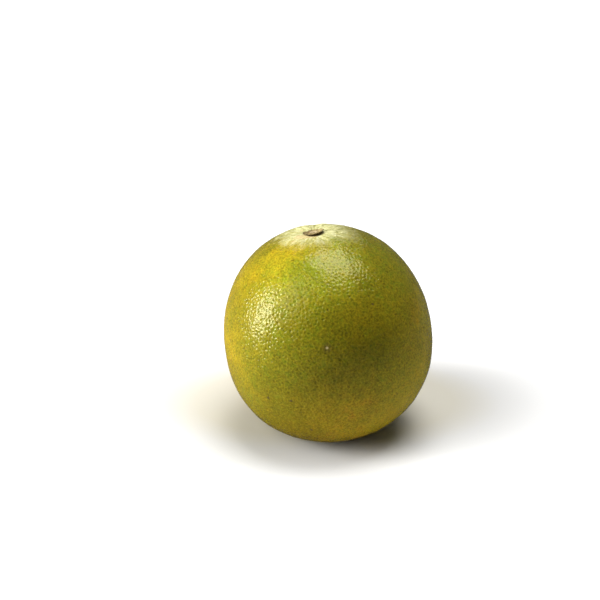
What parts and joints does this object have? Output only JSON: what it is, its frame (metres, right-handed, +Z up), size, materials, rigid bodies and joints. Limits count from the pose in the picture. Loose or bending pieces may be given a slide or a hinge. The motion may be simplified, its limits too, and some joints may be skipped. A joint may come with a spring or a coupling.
{
  "type": "orange",
  "caption": "Whole yellow-green orange with finely pitted peel and a small lobed stem button in a shallow dimple, resting on a small flat spot.",
  "frame": {"origin": "middle of the small flat spot that the fruit rests on", "axes": "+Z up from the surface it rests on; +X to the right and +Y away when its lighter, stem-leaning side is seen from the front; the stem end is up and leans 7 degrees to -X"},
  "size_m": [0.0752, 0.0753, 0.0757],
  "materials": {
    "peel": "waxy citrus peel, yellow-green with golden patches, finely pitted, soft gloss",
    "calyx": "dry brown woody calyx, matt and wrinkled"
  },
  "bodies": {
    "root": {"fruit": "peel", "calyx": "calyx"}
  },
  "joints": []
}
